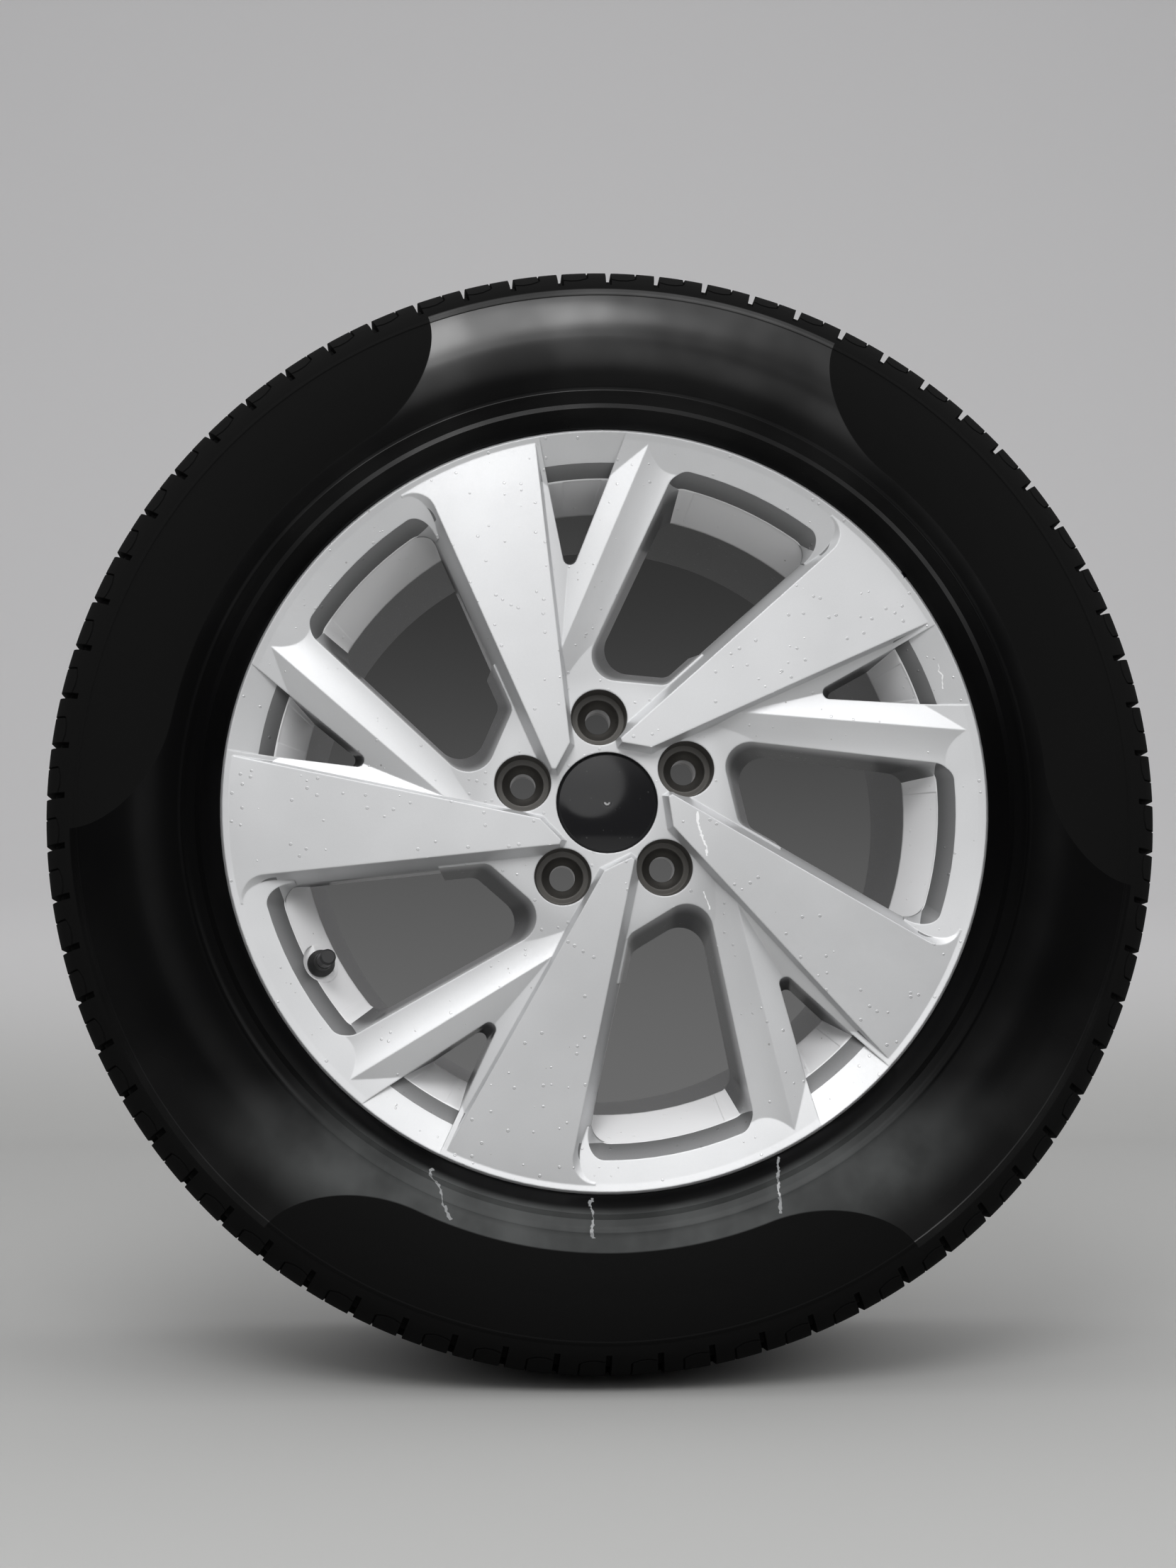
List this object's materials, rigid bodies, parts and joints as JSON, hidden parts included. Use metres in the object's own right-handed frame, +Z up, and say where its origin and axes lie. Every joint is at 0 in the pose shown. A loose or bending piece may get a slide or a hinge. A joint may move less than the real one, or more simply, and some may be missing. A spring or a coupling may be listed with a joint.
{
  "type": "wheel and tyre assembly",
  "caption": "Car road wheel: one-piece cast alloy wheel with wide flat blades and narrow ridged spokes, fitted with a tyre, a domed centre cap and a snap-in valve.",
  "frame": {"origin": "centre of the wheel and tyre, on the axis it spins about", "axes": "+Y along the axis towards the car, so the outer face looks along -Y; +Z up; +X to the right seen from the outer face"},
  "size_m": [0.6523, 0.2092, 0.6523],
  "materials": {
    "silver_alloy": "silver metallic lacquer",
    "tyre_rubber": "matt black, damp in places",
    "black_gloss": "gloss black",
    "spring_steel": "bright wire",
    "valve_rubber": "satin black",
    "valve_brass": "turned",
    "black_plastic": "moulded black"
  },
  "bodies": {
    "wheel": {"alloy_wheel": "silver_alloy", "tyre": "tyre_rubber", "centre_cap": "black_gloss", "cap_spring_ring": "spring_steel", "valve_stem_rubber": "valve_rubber", "valve_stem_insert": "valve_brass", "valve_core_body": "valve_brass", "valve_core_spring": "spring_steel"},
    "valve_pin": {"valve_core_pin": "valve_brass", "valve_core_seal": "valve_rubber"},
    "cap_washer": {"valve_cap_seal": "valve_rubber"},
    "dust_cap": {"valve_cap": "black_plastic"}
  },
  "joints": [
    {"name": "cap_rise", "type": "slide", "parent": "wheel", "child": "cap_washer", "axis": [0.2977, -0.9397, 0.1684], "range_m": [0, 0.0077]},
    {"name": "cap_turn", "type": "hinge", "parent": "cap_washer", "child": "dust_cap", "pos_m": [-0.16418, -0.0635, -0.09289], "axis": [0.2977, -0.9397, 0.1684], "range_deg": [0, 3492]},
    {"name": "pin_press", "type": "slide", "parent": "wheel", "child": "valve_pin", "axis": [-0.2977, 0.9397, -0.1684], "range_m": [0, 0.001], "stiffness_N_per_m": 800, "springref_m": -0.002, "deforming": ["valve_core_spring"]}
  ],
  "couplings": [
    {"joint": "cap_turn", "follows": "cap_rise", "rad_per_m": 7913.3}
  ]
}
